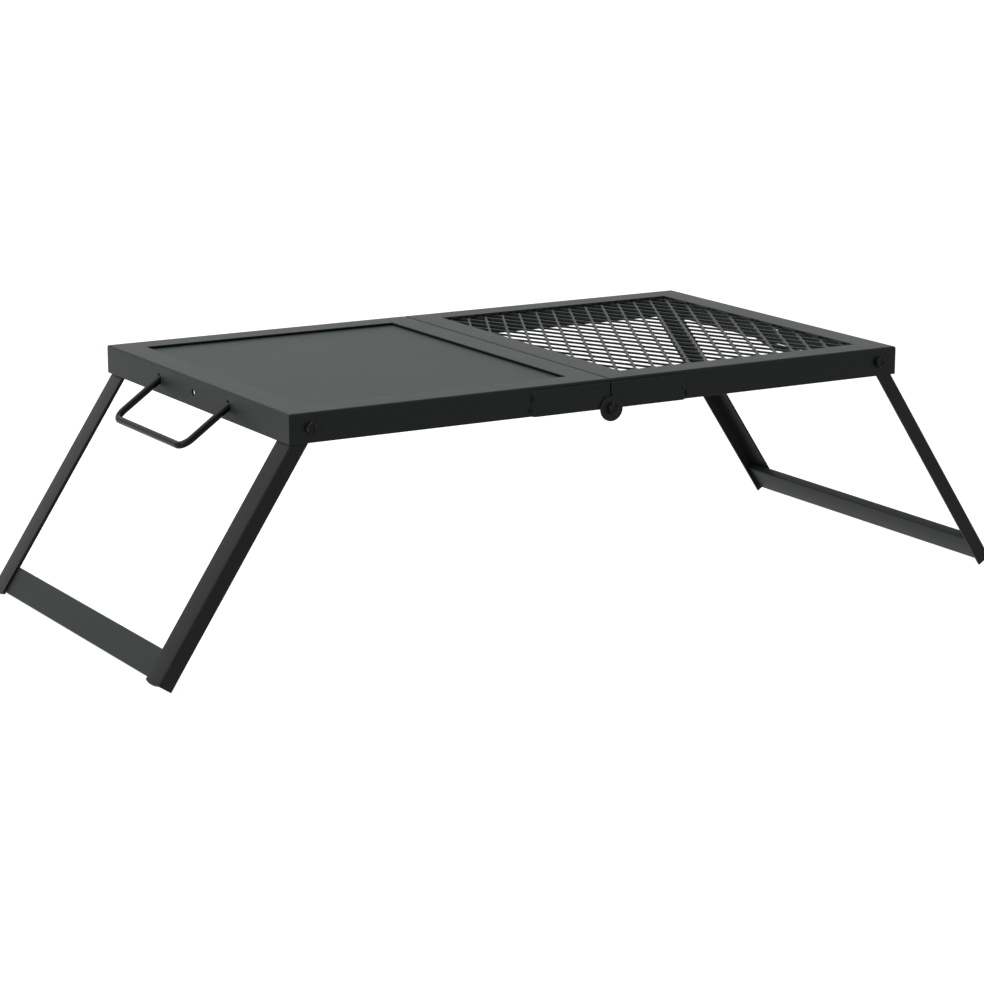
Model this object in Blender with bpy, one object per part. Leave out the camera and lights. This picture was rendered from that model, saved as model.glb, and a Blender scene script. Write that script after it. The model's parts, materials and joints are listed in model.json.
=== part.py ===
"""Folding camping grill: a griddle half and a grate half hinged together on splayed leg frames."""

from math import acos, asin, cos, pi, radians, sin, sqrt, tan

import bmesh
import bpy
from mathutils import Matrix, Vector

# Clearance between neighbouring pieces
GAP = 0.0003

# Deck frames, rolled from equal angle
DECK_LENGTH = 0.914
DECK_WIDTH = 0.546
WALL_HEIGHT = 0.0381
FLANGE_WIDTH = 0.040
ANGLE_THICKNESS = 0.0032
HEEL_RADIUS = 0.0026
ROOT_RADIUS = 0.0012
TOE_RADIUS = 0.0007
SEAM_GAP = 0.0005

# Griddle plate under the left frame's flanges
PLATE_THICKNESS = 0.003
PLATE_LAP = 0.016
PLATE_CORNER_RADIUS = 0.006

# Expanded-metal grate under the right frame's flanges
GRATE_THICKNESS = 0.0018
GRATE_LAP = 0.014
GRATE_EDGE_STRIP = 0.005
DIAMOND_LENGTH = 0.0545
DIAMOND_WIDTH = 0.028
STRAND_WIDTH = 0.003
GRATE_SHIFT_X = 0.0020
GRATE_SHIFT_Y = 0.0027
SMALLEST_OPENING = 0.00006

# Leg frames
LEG_SPLAY = radians(33.36)
LEG_REACH = 0.3605
LEG_SIDE_WIDTH = 0.0204
LEG_FACE_WIDTH = 0.036
LEG_THICKNESS = 0.003
LEG_HEEL_RADIUS = 0.003
LEG_ROOT_RADIUS = 0.0008
ROUND_END_INSET = 0.0001
FOOT_BULGE = 0.0025
FOOT_STEPS = 10
CROSSBAR_WIDTH = 0.0381
CROSSBAR_THICKNESS = 0.012
CROSSBAR_WALL = 0.0018
CROSSBAR_SETBACK = 0.0034
CROSSBAR_EDGE_RADIUS = 0.0015

# Bolts, lock nuts and washers
BOLT_DIAMETER = 0.008
HEX_ACROSS_FLATS = 0.013
HEX_EDGE = 0.0006
HEAD_HEIGHT = 0.0053
NUT_HEIGHT = 0.0065
COLLAR_HEIGHT = 0.0015
COLLAR_DIAMETER = 0.0112
THREAD_STICKOUT = 0.002
WASHER_DIAMETER = 0.016
WASHER_THICKNESS = 0.0016

# Deck hinge at the seam
DISC_DIAMETER = 0.0334
DISC_THICKNESS = 0.003
DISC_EDGE = 0.0006
WELD_BEAD = 0.0018
WELD_WIDTH = 0.005
WELD_START = radians(8.0)
WELD_END = radians(82.0)
STRAP_REACH = 0.1155
STRAP_HEIGHT = 0.0338
STRAP_OVERHANG = 0.0003
STRAP_THICKNESS = 0.003
EAR_RADIUS = 0.011
NOTCH_CLEARANCE = 0.001
COPE_CLEARANCE = 0.002
EAR_CLEARANCE = 0.001

# Wire handles on the end walls
WIRE_DIAMETER = 0.009525
HANDLE_SPREAD = 0.2084
HANDLE_ARM = 0.080
HANDLE_DROOP = radians(35.0)
HANDLE_BEND_RADIUS = 0.016
HANDLE_DEPTH = 0.0184
HANDLE_HOLE_PLAY = 0.00035
HANDLE_HOLE_DROP = 0.00065
TAIL_INSET = 0.012
TAIL_LENGTH = 0.017
TAIL_BEND_RADIUS = 0.006
HANG_HOLE_DIAMETER = 0.009
HANG_HOLE_DEPTH = 0.0193

# Facets
ROUND_SEGMENTS = 24
ROD_SEGMENTS = 16
FILLET_STEPS = 3
BEND_STEPS = 5

# Places that follow from the sizes above
LEG_HALF = LEG_SIDE_WIDTH / 2
LEG_FOOT_DROP = LEG_REACH * cos(LEG_SPLAY) + LEG_HALF * sin(LEG_SPLAY)
DECK_TOP = WALL_HEIGHT / 2 + LEG_FOOT_DROP
LEG_PIVOT_Z = DECK_TOP - WALL_HEIGHT / 2
LEG_STOP_REACH = (LEG_HALF + GAP + WALL_HEIGHT / 2 * sin(LEG_SPLAY)) / cos(LEG_SPLAY)
LEG_PIVOT_X = DECK_LENGTH / 2 - ANGLE_THICKNESS - LEG_STOP_REACH
LEG_OUTER_Y = DECK_WIDTH / 2 - ANGLE_THICKNESS - GAP
LEG_INNER_Y = LEG_OUTER_Y - LEG_THICKNESS
FOLD_AXIS_Z = DECK_TOP - WALL_HEIGHT
HANDLE_PIVOT_X = DECK_LENGTH / 2 - ANGLE_THICKNESS / 2
HOLE_RADIUS = BOLT_DIAMETER / 2 + GAP

BLACK_COAT = ((0.020, 0.022, 0.021), 0.45, 0.0)
SEASONED_STEEL = ((0.024, 0.027, 0.026), 0.38, 0.2)
BLACK_HARDWARE = ((0.012, 0.013, 0.013), 0.35, 0.6)
GLOSS_WIRE = ((0.010, 0.010, 0.011), 0.22, 0.0)


def clear_scene():
    """Remove every object that the new file came with."""
    for item in list(bpy.data.objects):
        bpy.data.objects.remove(item, do_unlink=True)


def make_collection(name):
    """Return a new collection linked to the scene."""
    collection = bpy.data.collections.new(name)
    bpy.context.scene.collection.children.link(collection)
    return collection


def make_material(name, finish):
    """Return a Principled BSDF material with a colour, a roughness and a metallic value."""
    colour, roughness, metallic = finish
    material = bpy.data.materials.new(name)
    material.use_nodes = True
    shader = material.node_tree.nodes["Principled BSDF"]
    shader.inputs["Base Color"].default_value = (*colour, 1.0)
    shader.inputs["Roughness"].default_value = roughness
    shader.inputs["Metallic"].default_value = metallic
    return material


def add_empty(name, location, parent=None, turn=0.0):
    """Return an empty on a joint's axis, turned about the depth axis."""
    empty = bpy.data.objects.new(name, None)
    empty.location = location
    empty.rotation_euler = (0.0, turn, 0.0)
    empty.parent = parent
    PARTS.objects.link(empty)
    return empty


def add_part(name, bm, finish, parent=None, location=(0.0, 0.0, 0.0), turn=0.0):
    """Turn a bmesh into a named, shaded object in the parts collection."""
    bmesh.ops.recalc_face_normals(bm, faces=bm.faces)
    mesh = bpy.data.meshes.new(name)
    bm.to_mesh(mesh)
    bm.free()
    mesh.shade_smooth()
    mesh.set_sharp_from_angle(angle=radians(35.0))
    mesh.materials.append(make_material(name + "_finish", finish))
    part = bpy.data.objects.new(name, mesh)
    part.location = location
    part.rotation_euler = (0.0, 0.0, turn)
    part.parent = parent
    PARTS.objects.link(part)
    return part


def shape_with(part, bm, operation="DIFFERENCE"):
    """Cut a bmesh out of a part, or join it on, in the part's own frame."""
    bmesh.ops.recalc_face_normals(bm, faces=bm.faces)
    name = part.name + "_" + operation.lower() + str(len(part.modifiers))
    mesh = bpy.data.meshes.new(name)
    bm.to_mesh(mesh)
    bm.free()
    tool = bpy.data.objects.new(name, mesh)
    tool.parent = part
    tool.hide_render = True
    tool.display_type = "WIRE"
    CUTTERS.objects.link(tool)
    modifier = part.modifiers.new(name, "BOOLEAN")
    modifier.operation = operation
    modifier.solver = "EXACT"
    modifier.object = tool


def rounded_outline(corners, steps=FILLET_STEPS):
    """Return a closed 2D outline whose corners, each (x, y, radius), are filleted."""
    outline = []
    count = len(corners)
    for index, (x, y, radius) in enumerate(corners):
        corner = Vector((x, y))
        if radius <= 0.0:
            outline.append(corner)
            continue
        before = (Vector(corners[index - 1][:2]) - corner).normalized()
        after = (Vector(corners[(index + 1) % count][:2]) - corner).normalized()
        half = before.angle(after) / 2
        centre = corner + (before + after).normalized() * radius / sin(half)
        arm = corner + before * radius * cos(half) / sin(half) - centre
        sweep = pi - 2 * half
        if before.cross(after) > 0.0:
            sweep = -sweep
        for step in range(steps + 1):
            turn = sweep * step / steps
            outline.append(centre + Matrix.Rotation(turn, 2) @ arm)
    return outline


def prism(outline, low, high, axis="Z"):
    """Return a bmesh of a 2D outline extruded between two levels of an axis.

    The outline lies in XY for axis Z, in XZ for axis Y and in YZ for axis X.
    """
    bm = bmesh.new()
    lift = {"Z": (0, 1, 2), "Y": (0, 2, 1), "X": (1, 2, 0)}[axis]
    loop = []
    for point in outline:
        place = [0.0, 0.0, 0.0]
        place[lift[0]] = point[0]
        place[lift[1]] = point[1]
        place[lift[2]] = low
        loop.append(bm.verts.new(place))
    face = bm.faces.new(loop)
    grown = bmesh.ops.extrude_face_region(bm, geom=[face])
    moved = [item for item in grown["geom"] if isinstance(item, bmesh.types.BMVert)]
    step = [0.0, 0.0, 0.0]
    step[lift[2]] = high - low
    bmesh.ops.translate(bm, verts=moved, vec=step)
    return bm


def rod(radius, start, end, segments=ROUND_SEGMENTS, turn=0.0, edge=0.0):
    """Return a bmesh cylinder or hexagon between two points, its rims bevelled by edge."""
    start = Vector(start)
    end = Vector(end)
    reach = end - start
    frame = Matrix.Translation((start + end) / 2) @ reach.to_track_quat("Z", "X").to_matrix().to_4x4()
    bm = bmesh.new()
    bmesh.ops.create_cone(
        bm,
        cap_ends=True,
        segments=segments,
        radius1=radius,
        radius2=radius,
        depth=reach.length,
        matrix=frame @ Matrix.Rotation(turn, 4, "Z"),
    )
    if edge > 0.0:
        rims = [item for item in bm.edges if any(len(face.verts) == segments for face in item.link_faces)]
        bmesh.ops.bevel(bm, geom=rims, offset=edge, segments=1, affect="EDGES")
    return bm


def block(low, high):
    """Return a bmesh box between two corners."""
    low = Vector(low)
    high = Vector(high)
    bm = bmesh.new()
    bmesh.ops.create_cube(bm, size=1.0)
    bmesh.ops.scale(bm, vec=high - low, verts=bm.verts)
    bmesh.ops.translate(bm, vec=(low + high) / 2, verts=bm.verts)
    return bm


def mitred_rail(name, length, parent, location, turn):
    """Return one angle rail along +X, its flange towards +Y, both ends mitred."""
    profile = rounded_outline([
        (0.0, 0.0, HEEL_RADIUS),
        (FLANGE_WIDTH, 0.0, TOE_RADIUS),
        (FLANGE_WIDTH, -ANGLE_THICKNESS, 0.0),
        (ANGLE_THICKNESS, -ANGLE_THICKNESS, ROOT_RADIUS),
        (ANGLE_THICKNESS, -WALL_HEIGHT, 0.0),
        (0.0, -WALL_HEIGHT, TOE_RADIUS),
    ])
    bm = prism(profile, 0.0, length, axis="X")
    mitre_gap = GAP / sqrt(2.0)
    for vertex in bm.verts:
        inset = vertex.co.y + mitre_gap
        vertex.co.x += inset if vertex.co.x < length / 2 else -inset
    return add_part(name, bm, BLACK_COAT, parent, location, turn)


def deck_frame(half, parent, x_low, x_high):
    """Return the four mitred rails of one deck half, keyed by side."""
    top = DECK_TOP - (parent.location.z if parent else 0.0)
    low = -DECK_WIDTH / 2
    high = DECK_WIDTH / 2
    across = x_high - x_low
    west, east = ("end", "seam") if half == "griddle" else ("seam", "end")
    return {
        "front": mitred_rail(half + "_front_rail", across, parent, (x_low, low, top), 0.0),
        east: mitred_rail(half + "_" + east + "_rail", DECK_WIDTH, parent, (x_high, low, top), pi / 2),
        "back": mitred_rail(half + "_back_rail", across, parent, (x_high, high, top), pi),
        west: mitred_rail(half + "_" + west + "_rail", DECK_WIDTH, parent, (x_low, high, top), -pi / 2),
    }


def cut_leg_holes(rails, half):
    """Drill the pivot holes of the leg bolts through the front and back walls."""
    from_end = DECK_LENGTH / 2 - LEG_PIVOT_X
    across = DECK_LENGTH / 2 - SEAM_GAP / 2
    for side in ("front", "back"):
        at_low_end = (half == "griddle") == (side == "front")
        along = from_end if at_low_end else across - from_end
        hole = rod(HOLE_RADIUS, (along, -ANGLE_THICKNESS, -WALL_HEIGHT / 2),
                   (along, 2 * ANGLE_THICKNESS, -WALL_HEIGHT / 2))
        shape_with(rails[side], hole)


def cut_hinge_room(rails, half):
    """Notch the walls for the hinge bolt and cope the seam wall round washer and nut."""
    across = DECK_LENGTH / 2 - SEAM_GAP / 2
    notch_radius = BOLT_DIAMETER / 2 + NOTCH_CLEARANCE
    for side in ("front", "back"):
        at_high_end = (half == "griddle") == (side == "front")
        along = across + SEAM_GAP / 2 if at_high_end else -SEAM_GAP / 2
        notch = rod(notch_radius, (along, -ANGLE_THICKNESS, -WALL_HEIGHT),
                    (along, 2 * ANGLE_THICKNESS, -WALL_HEIGHT))
        shape_with(rails[side], notch)
    cope_radius = WASHER_DIAMETER / 2 + COPE_CLEARANCE
    cope_depth = hinge_stack()["bolt_end"] + COPE_CLEARANCE
    for low, high in ((-GAP, cope_depth), (DECK_WIDTH - cope_depth, DECK_WIDTH + GAP)):
        cope = rod(cope_radius, (low, -SEAM_GAP / 2, -WALL_HEIGHT), (high, -SEAM_GAP / 2, -WALL_HEIGHT))
        shape_with(rails["seam"], cope)


def cut_handle_holes(rail):
    """Drill the two loose holes of the wire handle and the small one between them."""
    middle = DECK_WIDTH / 2
    depth = HANDLE_DEPTH + HANDLE_HOLE_DROP
    sloping_wire = WIRE_DIAMETER / 2 / cos(HANDLE_DROOP) + ANGLE_THICKNESS / 2 * tan(HANDLE_DROOP)
    loose_hole = 2 * (sloping_wire + HANDLE_HOLE_DROP + HANDLE_HOLE_PLAY)
    holes = (
        (middle - HANDLE_SPREAD / 2, depth, loose_hole),
        (middle + HANDLE_SPREAD / 2, depth, loose_hole),
        (middle, HANG_HOLE_DEPTH, HANG_HOLE_DIAMETER),
    )
    for along, drop, diameter in holes:
        hole = rod(diameter / 2, (along, -ANGLE_THICKNESS, -drop), (along, 2 * ANGLE_THICKNESS, -drop))
        shape_with(rail, hole)


def griddle_plate():
    """Return the flat griddle plate, seated under the left frame's flanges."""
    inset = FLANGE_WIDTH - PLATE_LAP
    x_low = -DECK_LENGTH / 2 + inset
    x_high = -SEAM_GAP / 2 - inset
    y_half = DECK_WIDTH / 2 - inset
    radius = PLATE_CORNER_RADIUS
    outline = rounded_outline([
        (x_low, -y_half, radius),
        (x_high, -y_half, radius),
        (x_high, y_half, radius),
        (x_low, y_half, radius),
    ])
    top = DECK_TOP - ANGLE_THICKNESS - GAP
    return add_part("griddle_plate", prism(outline, top - PLATE_THICKNESS, top), SEASONED_STEEL)


def clip_outline(outline, axis, limit, keep_above):
    """Return the part of a convex outline on one side of an axis-aligned line."""
    kept = []
    for index, point in enumerate(outline):
        last = outline[index - 1]
        here = (point[axis] > limit) == keep_above
        there = (last[axis] > limit) == keep_above
        if here != there:
            share = (limit - last[axis]) / (point[axis] - last[axis])
            kept.append(last.lerp(point, share))
        if here:
            kept.append(point)
    return kept


def outline_area(outline):
    """Return the area inside a closed outline."""
    total = 0.0
    for index, point in enumerate(outline):
        total += outline[index - 1].cross(point)
    return abs(total) / 2


def diamond_opening(x, y):
    """Return one opening between four strands, blunt where the strands bond side by side."""
    half_width = DIAMOND_WIDTH / 2
    half_length = DIAMOND_LENGTH / 2
    slant = sqrt(half_width ** 2 + half_length ** 2)
    share = 1.0 - STRAND_WIDTH / 2 * slant / (half_width * half_length)
    blunt = half_width - STRAND_WIDTH
    shoulder = half_length * (share - blunt / half_width)
    tip = half_length * share
    return [
        Vector((x - blunt, y - shoulder)),
        Vector((x, y - tip)),
        Vector((x + blunt, y - shoulder)),
        Vector((x + blunt, y + shoulder)),
        Vector((x, y + tip)),
        Vector((x - blunt, y + shoulder)),
    ]


def grate_openings(x_limit, y_limit):
    """Return every diamond opening of the sheet, cut off at the sheet's edge strip."""
    openings = []
    columns = int(x_limit / (DIAMOND_WIDTH / 2)) + 2
    rows = int(y_limit / (DIAMOND_LENGTH / 2)) + 2
    for column in range(-columns, columns + 1):
        for row in range(-rows, rows + 1):
            if (column + row) % 2:
                continue
            x = column * DIAMOND_WIDTH / 2 + GRATE_SHIFT_X
            y = row * DIAMOND_LENGTH / 2 + GRATE_SHIFT_Y
            outline = diamond_opening(x, y)
            outline = clip_outline(outline, 0, -x_limit, True)
            outline = clip_outline(outline, 0, x_limit, False)
            outline = clip_outline(outline, 1, -y_limit, True)
            outline = clip_outline(outline, 1, y_limit, False)
            if len(outline) > 2 and outline_area(outline) > SMALLEST_OPENING:
                openings.append(outline)
    return openings


def add_spline(curve, outline):
    """Add one closed straight-sided outline to a flat curve."""
    spline = curve.splines.new("POLY")
    spline.points.add(len(outline) - 1)
    for point, place in zip(spline.points, outline):
        point.co = (place[0], place[1], 0.0, 1.0)
    spline.use_cyclic_u = True


def expanded_grate(parent):
    """Return the flattened expanded-metal sheet, seated under the right frame's flanges."""
    inset = FLANGE_WIDTH - GRATE_LAP
    x_low = SEAM_GAP / 2 + inset
    x_high = DECK_LENGTH / 2 - inset
    x_half = (x_high - x_low) / 2
    y_half = DECK_WIDTH / 2 - inset
    curve = bpy.data.curves.new("expanded_grate", "CURVE")
    curve.dimensions = "2D"
    curve.fill_mode = "BOTH"
    curve.extrude = GRATE_THICKNESS / 2
    add_spline(curve, [(-x_half, -y_half), (x_half, -y_half), (x_half, y_half), (-x_half, y_half)])
    for outline in grate_openings(x_half - GRATE_EDGE_STRIP, y_half - GRATE_EDGE_STRIP):
        add_spline(curve, outline)
    curve.materials.append(make_material("expanded_grate_finish", BLACK_COAT))
    grate = bpy.data.objects.new("expanded_grate", curve)
    middle = DECK_TOP - ANGLE_THICKNESS - GAP - GRATE_THICKNESS / 2
    grate.location = Vector(((x_low + x_high) / 2, 0.0, middle)) - parent.location
    grate.parent = parent
    PARTS.objects.link(grate)
    return grate


def hex_bolt(name, parent, side, under_head, end, location=(0.0, 0.0, 0.0), turn=0.0):
    """Return a hex bolt along the depth axis, its head's inner face at under_head."""
    radius = HEX_ACROSS_FLATS / sqrt(3.0)
    head = rod(radius, (0.0, side * under_head, 0.0), (0.0, side * (under_head + HEAD_HEIGHT), 0.0),
               segments=6, turn=turn, edge=HEX_EDGE)
    bolt = add_part(name, head, BLACK_HARDWARE, parent, location)
    shank = rod(BOLT_DIAMETER / 2, (0.0, side * (under_head + HEAD_HEIGHT / 2), 0.0), (0.0, side * end, 0.0),
                segments=ROD_SEGMENTS)
    shape_with(bolt, shank, "UNION")
    return bolt


def lock_nut(name, parent, side, outer, location=(0.0, 0.0, 0.0), turn=0.0):
    """Return a lock nut along the depth axis, its seat at outer, with a round collar."""
    radius = HEX_ACROSS_FLATS / sqrt(3.0)
    inner = outer - NUT_HEIGHT + COLLAR_HEIGHT
    body = rod(radius, (0.0, side * outer, 0.0), (0.0, side * inner, 0.0), segments=6, turn=turn, edge=HEX_EDGE)
    nut = add_part(name, body, BLACK_HARDWARE, parent, location)
    collar = rod(COLLAR_DIAMETER / 2, (0.0, side * (inner + COLLAR_HEIGHT), 0.0),
                 (0.0, side * (inner - COLLAR_HEIGHT), 0.0), segments=ROD_SEGMENTS)
    shape_with(nut, collar, "UNION")
    bore = rod(HOLE_RADIUS, (0.0, side * (outer + HEX_EDGE), 0.0),
               (0.0, side * (outer - NUT_HEIGHT - HEX_EDGE), 0.0), segments=ROD_SEGMENTS)
    shape_with(nut, bore)
    return nut


def leg(name, parent, end, side):
    """Return one angle leg, pivot at the origin, hanging down the frame's own -Z."""
    half = LEG_HALF
    outer = side * LEG_OUTER_Y
    inner = side * LEG_INNER_Y
    free = side * (LEG_OUTER_Y - LEG_FACE_WIDTH)
    face = end * (half - LEG_THICKNESS)
    profile = rounded_outline([
        (-end * half, outer, 0.0),
        (end * half, outer, LEG_HEEL_RADIUS),
        (end * half, free, 0.0),
        (face, free, 0.0),
        (face, inner, LEG_ROOT_RADIUS),
        (-end * half, inner, 0.0),
    ])
    part = add_part(name, prism(profile, -LEG_REACH, 0.0), BLACK_COAT, parent)
    inset = ROUND_END_INSET
    crown = rod(half - inset, (0.0, outer - side * inset, 0.0), (0.0, inner + side * inset, 0.0))
    shape_with(part, crown, "UNION")
    foot_low = free + side * inset
    foot_high = outer - side * LEG_HEEL_RADIUS
    sole = [Vector((foot_high, FOOT_BULGE - LEG_REACH)), Vector((foot_low, FOOT_BULGE - LEG_REACH))]
    for step in range(FOOT_STEPS + 1):
        share = step / FOOT_STEPS
        bulge = FOOT_BULGE * (1.0 - (2.0 * share - 1.0) ** 2)
        sole.append(Vector((foot_low + (foot_high - foot_low) * share, -LEG_REACH - bulge)))
    foot = prism(sole, face + end * inset, end * (half - inset), axis="X")
    shape_with(part, foot, "UNION")
    hole = rod(HOLE_RADIUS, (0.0, side * (LEG_OUTER_Y + LEG_THICKNESS), 0.0),
               (0.0, side * (LEG_INNER_Y - LEG_THICKNESS), 0.0))
    shape_with(part, hole)
    return part


def crossbar(name, parent, end):
    """Return the flat tube between the two legs of a frame, open at both ends."""
    outside = end * (LEG_HALF - LEG_THICKNESS - GAP)
    inside = outside - end * CROSSBAR_THICKNESS
    low = -LEG_REACH + CROSSBAR_SETBACK
    high = low + CROSSBAR_WIDTH
    reach = LEG_INNER_Y - GAP
    radius = CROSSBAR_EDGE_RADIUS
    outline = rounded_outline([(inside, low, radius), (outside, low, radius),
                               (outside, high, radius), (inside, high, radius)])
    tube = add_part(name, prism(outline, -reach, reach, axis="Y"), BLACK_COAT, parent)
    wall = CROSSBAR_WALL
    bore = block((min(inside, outside) + wall, -2 * reach, low + wall),
                 (max(inside, outside) - wall, 2 * reach, high - wall))
    shape_with(tube, bore)
    return tube


def leg_frame(side_name, end, carrier):
    """Build one leg frame with its pivots; end is -1 for the left one and 1 for the right."""
    pivot = Vector((end * LEG_PIVOT_X, 0.0, LEG_PIVOT_Z))
    local = pivot - (carrier.location if carrier else Vector())
    axis = add_empty(side_name + "_leg_axis", local, carrier, -end * LEG_SPLAY)
    crossbar(side_name + "_crossbar", axis, end)
    for place, side in (("front", -1), ("back", 1)):
        label = place + "_" + side_name
        leg(label + "_leg", axis, end, side)
        nut_seat = LEG_INNER_Y - GAP
        hex_bolt(label + "_leg_bolt", axis, side, DECK_WIDTH / 2 + GAP, nut_seat - NUT_HEIGHT - THREAD_STICKOUT,
                 turn=pi / 6 + end * side * LEG_SPLAY)
        lock_nut(label + "_leg_nut", axis, side, nut_seat, turn=pi / 6)


def hinge_stack():
    """Return how far each hinge piece lies inside the outer wall face."""
    washer_outer = ANGLE_THICKNESS + GAP
    nut_outer = washer_outer + WASHER_THICKNESS + GAP
    return {
        "washer": washer_outer,
        "nut": nut_outer,
        "bolt_end": nut_outer + NUT_HEIGHT + THREAD_STICKOUT,
    }


def griddle_strap(place, side):
    """Return the griddle half's hinge strap, outside the wall, with a round ear about the fold axis."""
    low = -STRAP_OVERHANG
    high = STRAP_HEIGHT - STRAP_OVERHANG
    seam_x = -SEAM_GAP / 2
    outline = [Vector((-STRAP_REACH, low)), Vector((-STRAP_REACH, high)), Vector((seam_x, high))]
    start = acos(seam_x / EAR_RADIUS)
    end = asin(STRAP_OVERHANG / EAR_RADIUS) - pi
    for step in range(ROUND_SEGMENTS + 1):
        angle = start + (end - start) * step / ROUND_SEGMENTS
        outline.append(EAR_RADIUS * Vector((cos(angle), sin(angle))))
    seat = DECK_WIDTH / 2 + GAP
    bm = prism(outline, side * seat, side * (seat + STRAP_THICKNESS), axis="Y")
    strap = add_part(place + "_griddle_strap", bm, BLACK_COAT, None, (0.0, 0.0, FOLD_AXIS_Z))
    hole = rod(HOLE_RADIUS, (0.0, side * (seat - STRAP_THICKNESS), 0.0),
               (0.0, side * (seat + 2 * STRAP_THICKNESS), 0.0))
    shape_with(strap, hole)


def grate_strap(place, side, fold_axis):
    """Return the grate half's hinge strap, coped round the other strap's ear."""
    seat = DECK_WIDTH / 2 + GAP
    face = seat + STRAP_THICKNESS
    bm = block((SEAM_GAP / 2, min(side * seat, side * face), -STRAP_OVERHANG),
               (STRAP_REACH, max(side * seat, side * face), STRAP_HEIGHT - STRAP_OVERHANG))
    strap = add_part(place + "_grate_strap", bm, BLACK_COAT, fold_axis)
    cope = rod(EAR_RADIUS + EAR_CLEARANCE, (0.0, side * (seat - STRAP_THICKNESS), 0.0),
               (0.0, side * (face + STRAP_THICKNESS), 0.0))
    shape_with(strap, cope)


def weld_outline():
    """Return the quarter ring that welds a hinge disc to the grate half's strap."""
    outer = DISC_DIAMETER / 2 + WELD_BEAD
    inner = outer - WELD_WIDTH
    steps = ROUND_SEGMENTS // 4
    outline = []
    for radius, first, last in ((outer, WELD_START, WELD_END), (inner, WELD_END, WELD_START)):
        for step in range(steps + 1):
            angle = first + (last - first) * step / steps
            outline.append(radius * Vector((cos(angle), sin(angle))))
    return outline


def deck_hinge(place, side, fold_axis):
    """Build one deck hinge: two straps, the cover disc on the grate one, and the bolt with its nut."""
    stack = hinge_stack()
    wall = DECK_WIDTH / 2
    on_axis = (0.0, 0.0, FOLD_AXIS_Z)
    griddle_strap(place, side)
    grate_strap(place, side, fold_axis)
    disc_seat = wall + GAP + STRAP_THICKNESS + GAP
    disc_face = disc_seat + DISC_THICKNESS
    disc = add_part(place + "_hinge_disc",
                    rod(DISC_DIAMETER / 2, (0.0, side * disc_seat, 0.0), (0.0, side * disc_face, 0.0),
                        edge=DISC_EDGE),
                    BLACK_COAT, fold_axis)
    weld = prism(weld_outline(), side * (disc_seat + ROUND_END_INSET), side * (disc_seat + DISC_THICKNESS / 2),
                 axis="Y")
    shape_with(disc, weld, "UNION")
    shape_with(disc, rod(HOLE_RADIUS, (0.0, side * (disc_seat - DISC_THICKNESS), 0.0),
                         (0.0, side * (disc_face + DISC_THICKNESS), 0.0)))
    washer_outer = wall - stack["washer"]
    washer_inner = washer_outer - WASHER_THICKNESS
    washer = add_part(place + "_hinge_washer",
                      rod(WASHER_DIAMETER / 2, (0.0, side * washer_outer, 0.0), (0.0, side * washer_inner, 0.0)),
                      BLACK_HARDWARE, None, on_axis)
    shape_with(washer, rod(HOLE_RADIUS, (0.0, side * (washer_outer + WASHER_THICKNESS), 0.0),
                           (0.0, side * (washer_inner - WASHER_THICKNESS), 0.0)))
    hex_bolt(place + "_hinge_bolt", None, side, disc_face + GAP, wall - stack["bolt_end"], on_axis, pi / 6)
    lock_nut(place + "_hinge_nut", None, side, wall - stack["nut"], on_axis, pi / 6)


def bend(points, corner, start, end, radius):
    """Append an arc of a right-angled bend at corner, from the side of start to that of end."""
    before = (start - corner).normalized()
    after = (end - corner).normalized()
    centre = corner + (before + after) * radius
    for step in range(BEND_STEPS + 1):
        angle = pi / 2 * step / BEND_STEPS
        points.append(centre - after * radius * cos(angle) - before * radius * sin(angle))


def wire_handle(name, end, carrier):
    """Return the wire handle of one end wall, hanging from its two loose holes."""
    half = HANDLE_SPREAD / 2
    tail = Vector((-TAIL_INSET, -half - TAIL_LENGTH))
    tail_corner = Vector((-TAIL_INSET, -half))
    grip_corner = Vector((HANDLE_ARM, -half))
    grip_middle = Vector((HANDLE_ARM, 0.0))
    route = [tail]
    bend(route, tail_corner, tail, grip_corner, TAIL_BEND_RADIUS)
    bend(route, grip_corner, tail_corner, grip_middle, HANDLE_BEND_RADIUS)
    route += [Vector((point.x, -point.y)) for point in reversed(route)]
    curve = bpy.data.curves.new(name, "CURVE")
    curve.dimensions = "3D"
    curve.bevel_depth = WIRE_DIAMETER / 2
    curve.bevel_resolution = 4
    curve.use_fill_caps = True
    spline = curve.splines.new("POLY")
    spline.points.add(len(route) - 1)
    for point, place in zip(spline.points, route):
        point.co = (end * place.x, place.y, 0.0, 1.0)
    curve.materials.append(make_material(name + "_finish", GLOSS_WIRE))
    pivot = Vector((end * HANDLE_PIVOT_X, 0.0, DECK_TOP - HANDLE_DEPTH))
    local = pivot - (carrier.location if carrier else Vector())
    axis = add_empty(name + "_axis", local, carrier, end * HANDLE_DROOP)
    handle = bpy.data.objects.new(name, curve)
    handle.parent = axis
    PARTS.objects.link(handle)
    return handle


def griddle_half():
    """Build the left half, which carries the griddle plate."""
    rails = deck_frame("griddle", None, -DECK_LENGTH / 2, -SEAM_GAP / 2)
    cut_leg_holes(rails, "griddle")
    cut_hinge_room(rails, "griddle")
    cut_handle_holes(rails["end"])
    griddle_plate()
    leg_frame("left", -1, None)
    wire_handle("left_handle", -1, None)


def grate_half(fold_axis):
    """Build the right half, which carries the expanded metal and folds about the seam."""
    rails = deck_frame("grate", fold_axis, SEAM_GAP / 2, DECK_LENGTH / 2)
    cut_leg_holes(rails, "grate")
    cut_hinge_room(rails, "grate")
    cut_handle_holes(rails["end"])
    expanded_grate(fold_axis)
    leg_frame("right", 1, fold_axis)
    wire_handle("right_handle", 1, fold_axis)


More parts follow.
